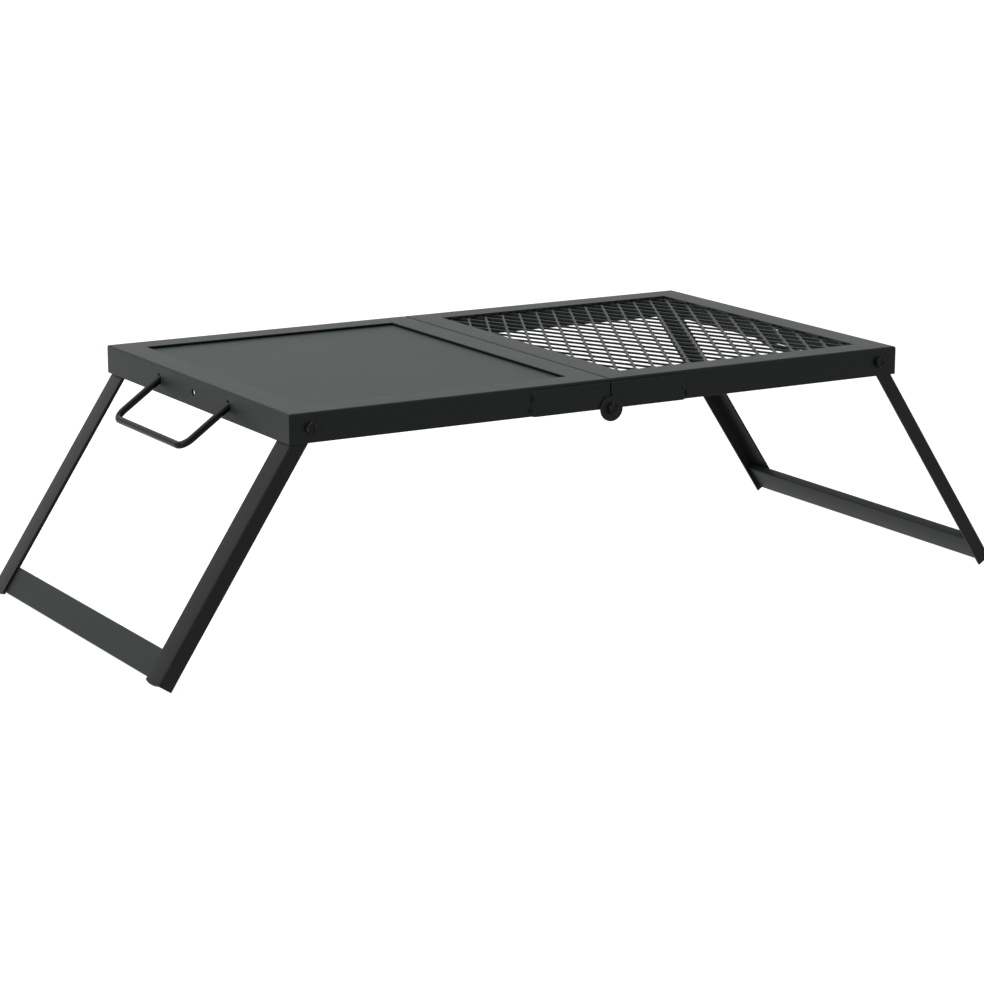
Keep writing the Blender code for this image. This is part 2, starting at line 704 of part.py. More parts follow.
clear_scene()
PARTS = make_collection("folding_camping_grill")
CUTTERS = make_collection("cutters")
FOLD_AXIS = add_empty("fold_axis", (0.0, 0.0, FOLD_AXIS_Z))
griddle_half()
grate_half(FOLD_AXIS)
deck_hinge("front", -1, FOLD_AXIS)
deck_hinge("back", 1, FOLD_AXIS)
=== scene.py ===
"""Dressed model of a folding camping grill: griddle half, grate half, leg frames and wire handles."""

import json
import logging
from collections.abc import Iterable, Mapping, Sequence
from dataclasses import dataclass
from enum import Enum
from math import cos, pi, radians, sin
from typing import Any, Union

import bmesh
import bpy
from mathutils import Matrix, Vector

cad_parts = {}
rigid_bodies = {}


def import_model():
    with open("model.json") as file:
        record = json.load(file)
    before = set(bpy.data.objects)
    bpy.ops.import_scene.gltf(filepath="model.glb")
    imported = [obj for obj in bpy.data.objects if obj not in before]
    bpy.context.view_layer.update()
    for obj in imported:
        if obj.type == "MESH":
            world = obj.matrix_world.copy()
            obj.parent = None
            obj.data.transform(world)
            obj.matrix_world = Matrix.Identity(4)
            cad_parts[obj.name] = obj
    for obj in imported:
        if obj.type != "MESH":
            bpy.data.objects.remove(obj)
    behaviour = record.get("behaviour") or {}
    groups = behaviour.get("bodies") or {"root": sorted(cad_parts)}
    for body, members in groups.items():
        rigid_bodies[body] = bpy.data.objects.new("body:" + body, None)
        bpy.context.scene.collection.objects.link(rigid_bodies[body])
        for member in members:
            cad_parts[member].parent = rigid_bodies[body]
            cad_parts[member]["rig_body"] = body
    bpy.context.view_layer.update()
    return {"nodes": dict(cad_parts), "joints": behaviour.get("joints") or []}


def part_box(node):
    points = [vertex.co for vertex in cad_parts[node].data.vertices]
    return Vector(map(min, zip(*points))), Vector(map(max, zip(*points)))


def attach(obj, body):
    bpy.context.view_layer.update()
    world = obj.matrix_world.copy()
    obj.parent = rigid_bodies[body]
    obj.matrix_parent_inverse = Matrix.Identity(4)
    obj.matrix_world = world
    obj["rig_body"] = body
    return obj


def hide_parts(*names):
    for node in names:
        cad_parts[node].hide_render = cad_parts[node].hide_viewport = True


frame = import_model()

LOG = logging.getLogger("camping_grill")

# Meshes
MERGE_DISTANCE = 0.00002
FLAT_ANGLE = radians(0.5)
SHARP_ANGLE = radians(38.0)
BEVEL_SEGMENTS = 2
QUARTER_TURN = pi / 2

# Shading, with the sockets of a Mix node for colours
NOISE_MEAN = 0.5
NOISE_ROUGHNESS = 0.55
EDGE_SAMPLES = 4
MIX_FIRST, MIX_SECOND, MIX_RESULT = 6, 7, 2
UNSTRETCHED = (1.0, 1.0, 1.0)
WHITE = (1.0, 1.0, 1.0, 1.0)

# Deck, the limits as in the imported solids
DECK_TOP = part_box("griddle_front_rail")[1].z
DECK_HALF_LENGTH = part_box("grate_end_rail")[1].x
DECK_HALF_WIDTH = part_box("griddle_back_rail")[1].y
SEAM_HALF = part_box("grate_seam_rail")[0].x
WALL_THICKNESS = 0.0032
WALL_HEIGHT = 0.0381
WALL_BOTTOM = DECK_TOP - WALL_HEIGHT
HANDLE_SPREAD = 0.2084


class Portion(Enum):
    """A portion of the grill, whose value is the sign of the axis that it lies on."""

    @property
    def label(self) -> str:
        """Return the word that names this portion's solids."""
        return self.name.lower()

    def outer(self, low: float, high: float) -> float:
        """Return the limit that lies farther out on this portion's side."""
        return high if self.value > 0 else low


class Half(Portion):
    """The two halves of the deck, along X."""

    GRIDDLE = -1
    GRATE = 1

    @property
    def body(self) -> str:
        """Return the moving body that carries this half."""
        return self.label + "_half"

    @property
    def end(self) -> "End":
        """Return the end of the grill that this half reaches to."""
        return End(self.value)


class Side(Portion):
    """The front and the back of the grill, along Y."""

    FRONT = -1
    BACK = 1


class End(Portion):
    """The left and the right end of the grill, along X."""

    LEFT = -1
    RIGHT = 1


SocketInput = Union["Value", bpy.types.NodeSocket, float, int, Sequence[float]]


class Value:
    """A shader socket that takes part in Python expressions."""

    def __init__(self, tree: "ShaderTree", socket: bpy.types.NodeSocket) -> None:
        """Keep the socket and the tree that it belongs to."""
        self.tree = tree
        self.socket = socket

    def _maths(self, operation: str, first: SocketInput, second: SocketInput) -> "Value":
        """Return the result of one Math node.

        Args:
            operation: The Math node's operation.
            first: The first operand.
            second: The second operand.

        Returns:
            The node's output as a value.
        """
        node = self.tree.add("ShaderNodeMath", {"operation": operation}, {0: first, 1: second})
        return Value(self.tree, node.outputs[0])

    def __add__(self, other: SocketInput) -> "Value":
        """Return self + other."""
        return self._maths("ADD", self, other)

    def __radd__(self, other: SocketInput) -> "Value":
        """Return other + self."""
        return self._maths("ADD", other, self)

    def __sub__(self, other: SocketInput) -> "Value":
        """Return self - other."""
        return self._maths("SUBTRACT", self, other)

    def __rsub__(self, other: SocketInput) -> "Value":
        """Return other - self."""
        return self._maths("SUBTRACT", other, self)

    def __mul__(self, other: SocketInput) -> "Value":
        """Return self * other."""
        return self._maths("MULTIPLY", self, other)

    def __rmul__(self, other: SocketInput) -> "Value":
        """Return other * self."""
        return self._maths("MULTIPLY", other, self)

    def __truediv__(self, other: SocketInput) -> "Value":
        """Return self / other."""
        return self._maths("DIVIDE", self, other)

    def clamped(self) -> "Value":
        """Return this value held between 0 and 1."""
        node = self.tree.add("ShaderNodeClamp", {}, {0: self})
        return Value(self.tree, node.outputs[0])

    def between(self, low: float, high: float) -> "Value":
        """Return 0 below low, 1 above high and a smooth rise between them.

        Args:
            low: The value at which the rise starts.
            high: The value at which it ends.

        Returns:
            The smoothed value.
        """
        settings = {"interpolation_type": "SMOOTHSTEP"}
        node = self.tree.add("ShaderNodeMapRange", settings, {0: self, 1: low, 2: high})
        return Value(self.tree, node.outputs[0])


class ShaderTree:
    """The node tree of a material or of the world, grown through one method."""

    def __init__(self, owner: Union[bpy.types.Material, bpy.types.World]) -> None:
        """Empty the owner's node tree.

        Args:
            owner: The material or world whose nodes are made.
        """
        self.owner = owner
        owner.use_nodes = True
        self.nodes = owner.node_tree.nodes
        self.links = owner.node_tree.links
        self.nodes.clear()

    def add(
        self,
        kind: str,
        settings: Mapping[str, Any] | None = None,
        inputs: Mapping[str | int, SocketInput] | None = None,
    ) -> bpy.types.Node:
        """Add one node, set it up and join it.

        Args:
            kind: The node's type.
            settings: Its settings, which are set first.
            inputs: The value or link of each socket, by name or number.

        Returns:
            The new node.
        """
        node = self.nodes.new(kind)
        for key, setting in (settings or {}).items():
            setattr(node, key, setting)
        for key, given in (inputs or {}).items():
            if isinstance(given, Value):
                given = given.socket
            if isinstance(given, bpy.types.NodeSocket):
                self.links.new(given, node.inputs[key])
            else:
                node.inputs[key].default_value = given
        return node

    def place(self, stretch: Sequence[float] = UNSTRETCHED) -> bpy.types.NodeSocket:
        """Return object coordinates in metres, stretched along each axis.

        Args:
            stretch: How much denser the pattern is along X, Y and Z.

        Returns:
            The coordinate socket.
        """
        coordinates = self.add("ShaderNodeTexCoord")
        inputs = {"Vector": coordinates.outputs["Object"], "Scale": stretch}
        return self.add("ShaderNodeMapping", {}, inputs).outputs["Vector"]

    def noise(self, size: float, detail: float, stretch: Sequence[float] = UNSTRETCHED) -> Value:
        """Return noise whose blots are about size metres across.

        Args:
            size: The blots' size in metres.
            detail: How many finer layers are added.
            stretch: How much denser the noise is along X, Y and Z.

        Returns:
            The noise, which is NOISE_MEAN on average.
        """
        node = self.add("ShaderNodeTexNoise", {}, {
            "Vector": self.place(stretch),
            "Scale": 1.0 / size,
            "Detail": detail,
            "Roughness": NOISE_ROUGHNESS,
        })
        return Value(self, node.outputs["Fac"])

    def mix(self, amount: SocketInput, first: SocketInput, second: SocketInput) -> Value:
        """Return a colour between two colours.

        Args:
            amount: The share of the second colour.
            first: The first colour.
            second: The second colour.

        Returns:
            The mixed colour.
        """
        inputs = {0: amount, MIX_FIRST: first, MIX_SECOND: second}
        node = self.add("ShaderNodeMix", {"data_type": "RGBA"}, inputs)
        return Value(self, node.outputs[MIX_RESULT])

    def edges(self, radius: float, gain: float) -> Value:
        """Return a mask that is 1 along sharp edges.

        Args:
            radius: How far the mask reaches from an edge, in metres.
            gain: How quickly it rises.

        Returns:
            The mask.
        """
        rounded = self.add("ShaderNodeBevel", {"samples": EDGE_SAMPLES}, {"Radius": radius})
        geometry = self.add("ShaderNodeNewGeometry")
        inputs = {0: rounded.outputs["Normal"], 1: geometry.outputs["Normal"]}
        facing = self.add("ShaderNodeVectorMath", {"operation": "DOT_PRODUCT"}, inputs)
        return ((1.0 - Value(self, facing.outputs["Value"])) * gain).clamped()

    def background_rays(self) -> Value:
        """Return 1 for rays that show the background: camera, glossy and transmission rays."""
        path = self.add("ShaderNodeLightPath")
        seen = Value(self, path.outputs["Is Camera Ray"]) + Value(self, path.outputs["Is Glossy Ray"])
        return (seen + Value(self, path.outputs["Is Transmission Ray"])).clamped()


@dataclass(frozen=True)
class Finish:
    """A finish of the grill: a coat over steel, with grain, clouds, scuffs and lighter worn edges, the
    edges partly real wear and partly a painted edge highlight, and on the hardware painted glints.
    """

    name: str
    slot: str
    colour: tuple[float, float, float]
    # The colour of scuffs and worn edges, which also serves as the colour of painted edge highlights and
    # painted glints.
    worn: tuple[float, float, float]
    roughness: float
    ior: float = 1.21
    metallic: float = 0.0
    grain_size: float = 0.0009
    grain_depth: float = 0.000012
    grain_tone: float = 0.10
    grain_gloss: float = 0.06
    peel_size: float = 0.0050
    peel_depth: float = 0.000022
    cloud_size: float = 0.11
    cloud: float = 0.06
    scuff_size: float = 0.010
    scuff_band: tuple[float, float] = (0.58, 0.72)
    scuff_stretch: tuple[float, float, float] = UNSTRETCHED
    scuff: float = 0.04
    # Lighter worn edges: partly real wear, partly a painted edge highlight, and on the hardware painted
    # glints.
    wear_size: float = 0.012
    wear_band: tuple[float, float] = (0.40, 0.62)
    wear_radius: float = 0.0012
    wear_gain: float = 3.0
    wear: float = 0.30

    def material(self) -> bpy.types.Material:
        """Return this finish's material, made once."""
        return bpy.data.materials.get(self.name) or self._make()

    def _make(self) -> bpy.types.Material:
        """Build the finish's nodes.

        Returns:
            The material that they make.
        """
        tree = ShaderTree(bpy.data.materials.new(self.name))
        grain = tree.noise(self.grain_size, detail=1.0)
        peel = tree.noise(self.peel_size, detail=2.0)
        cloud = tree.noise(self.cloud_size, detail=3.0)
        scuff = tree.noise(self.scuff_size, 3.0, self.scuff_stretch).between(*self.scuff_band)
        edges = tree.edges(self.wear_radius, self.wear_gain)
        # Mask of the lighter worn edges: partly real wear and partly a painted edge highlight; with a
        # strong share and a pale colour, as on the hardware, it paints glints.
        worn = edges * tree.noise(self.wear_size, detail=3.0).between(*self.wear_band) * self.wear
        tone = (1.0 - self.cloud / 2) + cloud * self.cloud + (grain - NOISE_MEAN) * self.grain_tone
        colour = tree.add("ShaderNodeVectorMath", {"operation": "SCALE"}, {0: self.colour, "Scale": tone})
        worn_and_glinting_colour = (*self.worn, 1.0)
        scuffed = tree.mix(scuff * self.scuff, colour.outputs[0], worn_and_glinting_colour)
        # The coat is mixed towards the pale worn colour along the edges, which paints the edge highlights
        # and the glints.
        base = tree.mix(worn, scuffed, worn_and_glinting_colour)
        roughness = self.roughness + (cloud - NOISE_MEAN) * self.cloud
        roughness = roughness + (grain - NOISE_MEAN) * self.grain_gloss - scuff * self.scuff
        height = grain * self.grain_depth + peel * self.peel_depth
        bump = tree.add("ShaderNodeBump", {}, {"Strength": 1.0, "Distance": 1.0, "Height": height})
        shader = tree.add("ShaderNodeBsdfPrincipled", {}, {
            "Base Color": base,
            "Roughness": roughness.clamped(),
            "Metallic": self.metallic,
            "IOR": self.ior,
            "Normal": bump.outputs[0],
        })
        tree.add("ShaderNodeOutputMaterial", {}, {"Surface": shader.outputs[0]})
        return tree.owner


BLACK_COAT = Finish(
    name="black_coat_finish",
    slot="black_coat",
    colour=(0.0160, 0.0208, 0.0188),
    worn=(0.050, 0.055, 0.053),
    roughness=0.44,
)
LEG_COAT = Finish(
    name="leg_coat_finish",
    slot="black_coat",
    colour=(0.0115, 0.0120, 0.0118),
    worn=(0.050, 0.052, 0.051),
    roughness=0.44,
    ior=1.23,
)
WELD_COAT = Finish(
    name="weld_finish",
    slot="black_coat",
    colour=(0.0080, 0.0100, 0.0090),
    worn=(0.035, 0.037, 0.036),
    roughness=0.32,
    peel_size=0.0018,
    peel_depth=0.00008,
    wear=0.15,
)
GRIDDLE_STEEL = Finish(
    name="griddle_steel_finish",
    slot="griddle_steel",
    colour=(0.0150, 0.0225, 0.0200),
    worn=(0.046, 0.051, 0.049),
    roughness=0.46,
    grain_depth=0.000007,
    peel_size=0.008,
    peel_depth=0.000008,
    cloud_size=0.16,
    cloud=0.03,
    scuff_stretch=(0.18, 1.4, 1.0),
    scuff=0.02,
)
# Painted glints: the pale grey given for worn places is laid strongly on the edges of the bolt heads and
# nuts, standing in for glints of the lamp.
BLACK_HARDWARE = Finish(
    name="black_hardware_finish",
    slot="black_hardware",
    colour=(0.0060, 0.0064, 0.0062),
    worn=(0.300, 0.303, 0.300),
    roughness=0.24,
    ior=1.20,
    grain_size=0.0006,
    grain_depth=0.000004,
    peel_depth=0.000004,
    cloud_size=0.006,
    wear_radius=0.0009,
    wear=0.90,
)
GLOSS_WIRE = Finish(
    name="gloss_wire_finish",
    slot="gloss_wire",
    colour=(0.0050, 0.0053, 0.0052),
    worn=(0.035, 0.036, 0.036),
    roughness=0.20,
    ior=1.19,
    grain_depth=0.000002,
    peel_size=0.003,
    peel_depth=0.000008,
    cloud_size=0.03,
    wear_radius=0.0008,
)


def linked(name: str, data: bpy.types.ID) -> bpy.types.Object:
    """Put a mesh, lamp or camera into the scene.

    Args:
        name: The new object's name.
        data: What it holds.

    Returns:
        The new object.
    """
    item = bpy.data.objects.new(name, data)
    bpy.context.scene.collection.objects.link(item)
    return item


def add_piece(
    name: str,
    bm: bmesh.types.BMesh,
    body: str,
    finish: Finish,
    nodes: Sequence[str] = (),
    edge: float = 0.0,
) -> None:
    """Turn a mesh into a finished piece that rides on a body.

    Args:
        name: The piece's name.
        bm: Its mesh, which is freed.
        body: The moving body that carries it.
        finish: Its finish.
        nodes: The solids that it stands for.
        edge: The width of the bevel on its sharp edges, or 0.
    """
    mesh = bpy.data.meshes.new(name)
    bm.to_mesh(mesh)
    bm.free()
    mesh.shade_smooth()
    mesh.set_sharp_from_angle(angle=SHARP_ANGLE)
    mesh.materials.append(finish.material())
    piece = linked(name, mesh)
    if edge:
        bevel = piece.modifiers.new("edge", "BEVEL")
        bevel.width = edge
        bevel.segments = BEVEL_SEGMENTS
        bevel.limit_method = "ANGLE"
        bevel.angle_limit = SHARP_ANGLE
        bevel.harden_normals = True
    else:
        normals = piece.modifiers.new("flat_faces", "WEIGHTED_NORMAL")
        normals.keep_sharp = True
    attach(piece, body)
    if nodes:
        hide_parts(*nodes)
    LOG.info("%s: %d faces, on %s", name, len(mesh.polygons), body)


def solid_copy(node: str, flat_faces: bool = True) -> bmesh.types.BMesh:
    """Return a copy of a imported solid, closed and merged.

    Args:
        node: The solid's name.
        flat_faces: Whether triangles in one plane become one face.

    Returns:
        The merged mesh.
    """
    bm = bmesh.new()
    bm.from_mesh(frame["nodes"][node].data)
    bmesh.ops.remove_doubles(bm, verts=bm.verts, dist=MERGE_DISTANCE)
    if flat_faces:
        bmesh.ops.dissolve_limit(bm, angle_limit=FLAT_ANGLE, verts=bm.verts, edges=bm.edges,
                                 use_dissolve_boundaries=False)
    return bm


def body_of(node: str) -> str:
    """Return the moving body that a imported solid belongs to."""
    return frame["nodes"][node]["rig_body"]


def finish_solid(node: str, finish: Finish, edge: float = 0.0, bm: bmesh.types.BMesh | None = None) -> None:
    """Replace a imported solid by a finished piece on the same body.

    Args:
        node: The solid's name.
        finish: The piece's finish.
        edge: The width of the bevel on its sharp edges, or 0.
        bm: The piece's mesh, or None for a plain copy of the solid.
    """
    shape = solid_copy(node) if bm is None else bm
    add_piece(node + "_finished", shape, body_of(node), finish, (node,), edge)


def handle_pivot(end: End) -> Vector:
    """Return the middle of the line that an end's handle swings about."""
    name = end.label + "_handle_swing"
    return Vector(next(joint["pos_m"] for joint in frame["joints"] if joint["name"] == name))


def joined(parts: Iterable[bmesh.types.BMesh]) -> bmesh.types.BMesh:
    """Return one mesh made of several, which are freed.

    Args:
        parts: The meshes.

    Returns:
        The joined mesh.
    """
    whole = bmesh.new()
    for part in parts:
        mesh = bpy.data.meshes.new("part")
        part.to_mesh(mesh)
        part.free()
        whole.from_mesh(mesh)
        bpy.data.meshes.remove(mesh)
    return whole


class RoundBar:
    """A round bar that grows from a disc by straight runs and bends."""

    def __init__(
        self, bm: bmesh.types.BMesh, start: Vector, direction: Vector, radius: float, segments: int
    ) -> None:
        """Lay the first disc.

        Args:
            bm: The mesh that the bar is made in.
            start: The bar's first point.
            direction: Where it first heads.
            radius: Its radius.
            segments: How many sides its round has.
        """
        self.bm = bm
        self.direction = direction.normalized()
        turn = self.direction.to_track_quat("Z", "Y").to_matrix().to_4x4()
        place = Matrix.Translation(start) @ turn
        made = bmesh.ops.create_circle(bm, cap_ends=True, radius=radius, segments=segments, matrix=place)
        self.end = made["verts"][0].link_faces[0]
        self.grown = False

    def _advance(self, made: Sequence[Any]) -> None:
        """Take the new end disc and drop the old one, which would lie inside the bar.

        Args:
            made: What the last growth made, the new disc among it.
        """
        inner = self.end
        self.end = next(item for item in made if isinstance(item, bmesh.types.BMFace))
        if self.grown:
            bmesh.ops.delete(self.bm, geom=[inner], context="FACES_ONLY")
        self.grown = True

    def run(self, length: float, scale: float = 1.0) -> None:
        """Grow the bar straight on.

        Args:
            length: How far.
            scale: How much wider the new end is.
        """
        made = bmesh.ops.extrude_face_region(self.bm, geom=[self.end])
        self._advance(made["geom"])
        bmesh.ops.translate(self.bm, verts=list(self.end.verts), vec=self.direction * length)
        centre = self.end.calc_center_median()
        space = Matrix.Translation(-centre)
        bmesh.ops.scale(self.bm, verts=list(self.end.verts), vec=Vector((scale, scale, scale)), space=space)

    def bend(self, towards: Vector, radius: float, angle: float, steps: int) -> None:
        """Bend the bar.

        Args:
            towards: The direction from the bar's middle to the bend's centre.
            radius: The bend's radius, to the bar's middle.
            angle: How far it turns.
            steps: How many straight pieces make the bend.
        """
        centre = self.end.calc_center_median() + towards.normalized() * radius
        axis = self.direction.cross(towards).normalized()
        made = bmesh.ops.spin(self.bm, geom=[self.end], cent=centre, axis=axis, angle=angle, steps=steps)
        self._advance(made["geom_last"])
        self.direction = Matrix.Rotation(angle, 3, axis) @ self.direction


def turned(
    bm: bmesh.types.BMesh, profile: Sequence[tuple[float, float]], centre: Vector, segments: int
) -> None:
    """Turn a profile about a line along Y.

    Args:
        bm: The mesh that the turned shape is made in.
        profile: Pairs of radius and depth, which is measured along Y.
        centre: A point on the line, from which the depth counts.
        segments: How many steps the turn takes.
    """
    points = [bm.verts.new(centre + Vector((radius, depth, 0.0))) for radius, depth in profile]
    lines = [bm.edges.new(pair) for pair in zip(points, points[1:])]
    bmesh.ops.spin(bm, geom=points + lines, cent=centre, axis=(0.0, 1.0, 0.0), angle=2 * pi, steps=segments,
                   use_merge=True)


@dataclass
class WeldBead:
    """A straight weld bead whose ripples swell over a share of their length and then dip."""

    radius: float = 0.0017
    ripple: float = 0.0016
    fewest_ripples: int = 3
    dip: float = 0.80
    rise_share: float = 0.35
    segments: int = 8

    def lay(self, bm: bmesh.types.BMesh, start: Vector, end: Vector) -> None:
        """Lay one bead between two points.

        Args:
            bm: The mesh that it is made in.
            start: Its first point.
            end: Its last point.
        """
        line = end - start
        count = max(self.fewest_ripples, round(line.length / self.ripple))
        step = line.length / count
        bead = RoundBar(bm, start, line, self.radius * self.dip * self.dip, self.segments)
        for _ in range(count):
            bead.run(step * self.rise_share, 1.0 / self.dip)
            bead.run(step * (1.0 - self.rise_share), self.dip)


def closed_shell(bm: bmesh.types.BMesh) -> bmesh.types.BMesh:
    """Merge a new mesh's doubles and turn its faces outwards.

    Args:
        bm: The mesh.

    Returns:
        The same mesh.
    """
    bmesh.ops.remove_doubles(bm, verts=bm.verts, dist=MERGE_DISTANCE)
    bmesh.ops.recalc_face_normals(bm, faces=bm.faces)
    return bm


@dataclass
class DeckHalf:
    """One half of the deck: four mitred angle rails welded into a frame round its cooking surface.

    A bead's shift is the share of its radius by which it stands off what it joins.
    """

    half: Half
    mitre_reach: float = 0.0005
    grate_deepening: float = 0.0008
    hole_reach: float = 0.0095
    hole_half_width: float = 0.0054
    hole_half_height: float = 0.0072
    corner_bead_high: float = 0.004
    corner_bead_low: float = 0.026
    corner_bead_shift: float = 0.35
    plate_edge: float = 0.0005
    stitch_length: float = 0.045
    stitches: int = 3
    stitch_radius: float = 0.0015
    stitch_shift: float = 0.4

    @property
    def limits_x(self) -> tuple[float, float]:
        """Return the lowest and highest X of this half's frame."""
        if self.half is Half.GRIDDLE:
            return -DECK_HALF_LENGTH, -SEAM_HALF
        return SEAM_HALF, DECK_HALF_LENGTH

    def build(self) -> None:
        """Build the frame, its welds and its cooking surface."""
        label = self.half.label
        rails = {name: f"{label}_{name}_rail" for name in ("front", "back", "end", "seam")}
        parts = {name: self._rail(node, name in ("front", "back")) for name, node in rails.items()}
        self._fit_handle_holes(parts["end"])
        add_piece(f"{label}_frame", joined(parts.values()), self.half.body, BLACK_COAT,
                  tuple(rails.values()))
        self._corner_welds()
        self._surface()

    def _rail(self, node: str, lengthwise: bool) -> bmesh.types.BMesh:
        """Return one rail whose mitred ends reach the corners' diagonals.

        Args:
            node: The rail's solid.
            lengthwise: Whether it runs along X.

        Returns:
            The rail's mesh.
        """
        bm = solid_copy(node)
        for vertex in bm.verts:
            corner_x = min(self.limits_x, key=lambda x: abs(x - vertex.co.x))
            corner_y = DECK_HALF_WIDTH if vertex.co.y > 0 else -DECK_HALF_WIDTH
            away_x = vertex.co.x - corner_x
            away_y = vertex.co.y - corner_y
            if abs(abs(away_x) - abs(away_y)) > self.mitre_reach:
                continue
            if lengthwise:
                vertex.co.x = corner_x + (abs(away_y) if away_x > 0 else -abs(away_y))
            else:
                vertex.co.y = corner_y + (abs(away_x) if away_y > 0 else -abs(away_x))
        return bm

    def _fit_handle_holes(self, bm: bmesh.types.BMesh) -> None:
        """Draw the handle's two holes in to upright ovals that fit the wire as it swings.

        Args:
            bm: The end rail's mesh.
        """
        height = handle_pivot(self.half.end).z
        for side in Side:
            middle = Vector((side.value * HANDLE_SPREAD / 2, height))
            rim = [vertex for vertex in bm.verts if (vertex.co.yz - middle).length < self.hole_reach]
            centre = sum((vertex.co.yz for vertex in rim), Vector((0.0, 0.0))) / len(rim)
            for vertex in rim:
                spoke = (vertex.co.yz - centre).normalized()
                vertex.co.y = middle.x + spoke.x * self.hole_half_width
                vertex.co.z = middle.y + spoke.y * self.hole_half_height

    def _corner_welds(self) -> None:
        """Lay a bead in each inner corner of the walls."""
        bm = bmesh.new()
        bead = WeldBead()
        low_x, high_x = self.limits_x
        inset = WALL_THICKNESS + bead.radius * self.corner_bead_shift
        for x in (low_x + inset, high_x - inset):
            for side in Side:
                y = side.value * (DECK_HALF_WIDTH - inset)
                bead.lay(bm, Vector((x, y, DECK_TOP - self.corner_bead_high)),
                         Vector((x, y, DECK_TOP - self.corner_bead_low)))
        add_piece(f"{self.half.label}_corner_welds", closed_shell(bm), self.half.body, BLACK_COAT)

    def _surface(self) -> None:
        """Build the griddle plate or the grate, and the welds that hold it under the flanges."""
        if self.half is Half.GRIDDLE:
            node = "griddle_plate"
            finish_solid(node, GRIDDLE_STEEL, self.plate_edge)
        else:
            node = "expanded_grate"
            finish_solid(node, BLACK_COAT, bm=self._deepened(node))
        self._stitches(node)

    def _deepened(self, node: str) -> bmesh.types.BMesh:
        """Return the grate's copy with its underside lowered.

        Args:
            node: The grate's solid.

        Returns:
            The deeper mesh.
        """
        low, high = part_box(node)
        bm = solid_copy(node, flat_faces=False)
        below = [vertex for vertex in bm.verts if vertex.co.z < (low.z + high.z) / 2]
        bmesh.ops.translate(bm, verts=below, vec=Vector((0.0, 0.0, -self.grate_deepening)))
        return bm

    def _stitches(self, node: str) -> None:
        """Lay short beads along the four edges of the cooking surface.

        Args:
            node: The cooking surface's solid.
        """
        low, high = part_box(node)
        bm = bmesh.new()
        bead = WeldBead(radius=self.stitch_radius)
        shift = self.stitch_radius * self.stitch_shift
        z = high.z - shift
        along_x = Vector((self.stitch_length / 2, 0.0, 0.0))
        along_y = Vector((0.0, self.stitch_length / 2, 0.0))
        for index in range(self.stitches):
            share = (index + 0.5) / self.stitches
            x = low.x + (high.x - low.x) * share
            y = low.y + (high.y - low.y) * share
            for middle, along in (
                (Vector((x, low.y - shift, z)), along_x),
                (Vector((x, high.y + shift, z)), along_x),
                (Vector((low.x - shift, y, z)), along_y),
                (Vector((high.x + shift, y, z)), along_y),
            ):
                bead.lay(bm, middle - along, middle + along)
        add_piece(f"{node}_stitches", closed_shell(bm), self.half.body, BLACK_COAT)


@dataclass
class BoltSet:
    """A hex bolt, with threads past its end, and its lock nut."""

    prefix: str
    side: Side
    thread_pitch: float = 0.00125
    thread_crest: float = 0.00418
    thread_root: float = 0.0037
    thread_inset: float = 0.0002
    thread_turns: int = 3
    thread_segments: int = 20
    edge: float = 0.0003
    chamfer_run: float = 0.0010
    chamfer_drop: float = 0.0014
    dish_rim: float = 0.0014
    dish_depth: float = 0.0006

    def build(self) -> None:
        """Build the bolt and the nut."""
        node = self.prefix + "_bolt"
        bolt = solid_copy(node)
        self._add_threads(bolt, node)
        self._shape_head(bolt, node)
        finish_solid(node, BLACK_HARDWARE, self.edge, bolt)
        finish_solid(self.prefix + "_nut", BLACK_HARDWARE, self.edge)

    def _add_threads(self, bolt: bmesh.types.BMesh, node: str) -> None:
        """Add the threads that show past the nut.

        Args:
            bolt: The bolt's mesh.
            node: The bolt's solid.
        """
        low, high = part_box(node)
        centre = (low + high) / 2
        inward = -self.side.value
        depth = self.side.outer(high.y, low.y) - inward * self.thread_inset
        profile = [(0.0, depth)]
        for _ in range(self.thread_turns):
            profile.append((self.thread_root, depth))
            profile.append((self.thread_crest, depth - inward * self.thread_pitch / 2))
            depth -= inward * self.thread_pitch
        profile += [(self.thread_root, depth), (0.0, depth)]
        turned(bolt, profile, Vector((centre.x, 0.0, centre.z)), self.thread_segments)
        bmesh.ops.remove_doubles(bolt, verts=bolt.verts, dist=MERGE_DISTANCE)

    def _shape_head(self, bolt: bmesh.types.BMesh, node: str) -> None:
        """Chamfer the head's rim and press a dish into its face.

        Args:
            bolt: The bolt's mesh.
            node: The bolt's solid.
        """
        low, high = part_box(node)
        face_y = self.side.outer(low.y, high.y)
        drop = Vector((0.0, -self.side.value * self.chamfer_drop, 0.0))
        level = {vertex for vertex in bolt.verts if abs(vertex.co.y - face_y) < MERGE_DISTANCE}
        head = [face for face in bolt.faces if level.issuperset(face.verts)]
        bmesh.ops.inset_region(bolt, faces=head, thickness=self.chamfer_run, use_boundary=True,
                               use_even_offset=True)
        inner = {vertex for face in head for vertex in face.verts}
        rim = [vertex for vertex in bolt.verts
               if vertex not in inner and abs(vertex.co.y - face_y) < MERGE_DISTANCE]
        bmesh.ops.translate(bolt, verts=rim, vec=drop)
        bmesh.ops.inset_region(bolt, faces=head, thickness=self.dish_rim, depth=-self.dish_depth,
                               use_boundary=True, use_even_offset=True)


@dataclass(frozen=True)
class Tack:
    """A short weld bead at a strap's far end, from a low to a high share of the wall's height."""

    low: float
    high: float
    inboard: float
    radius: float


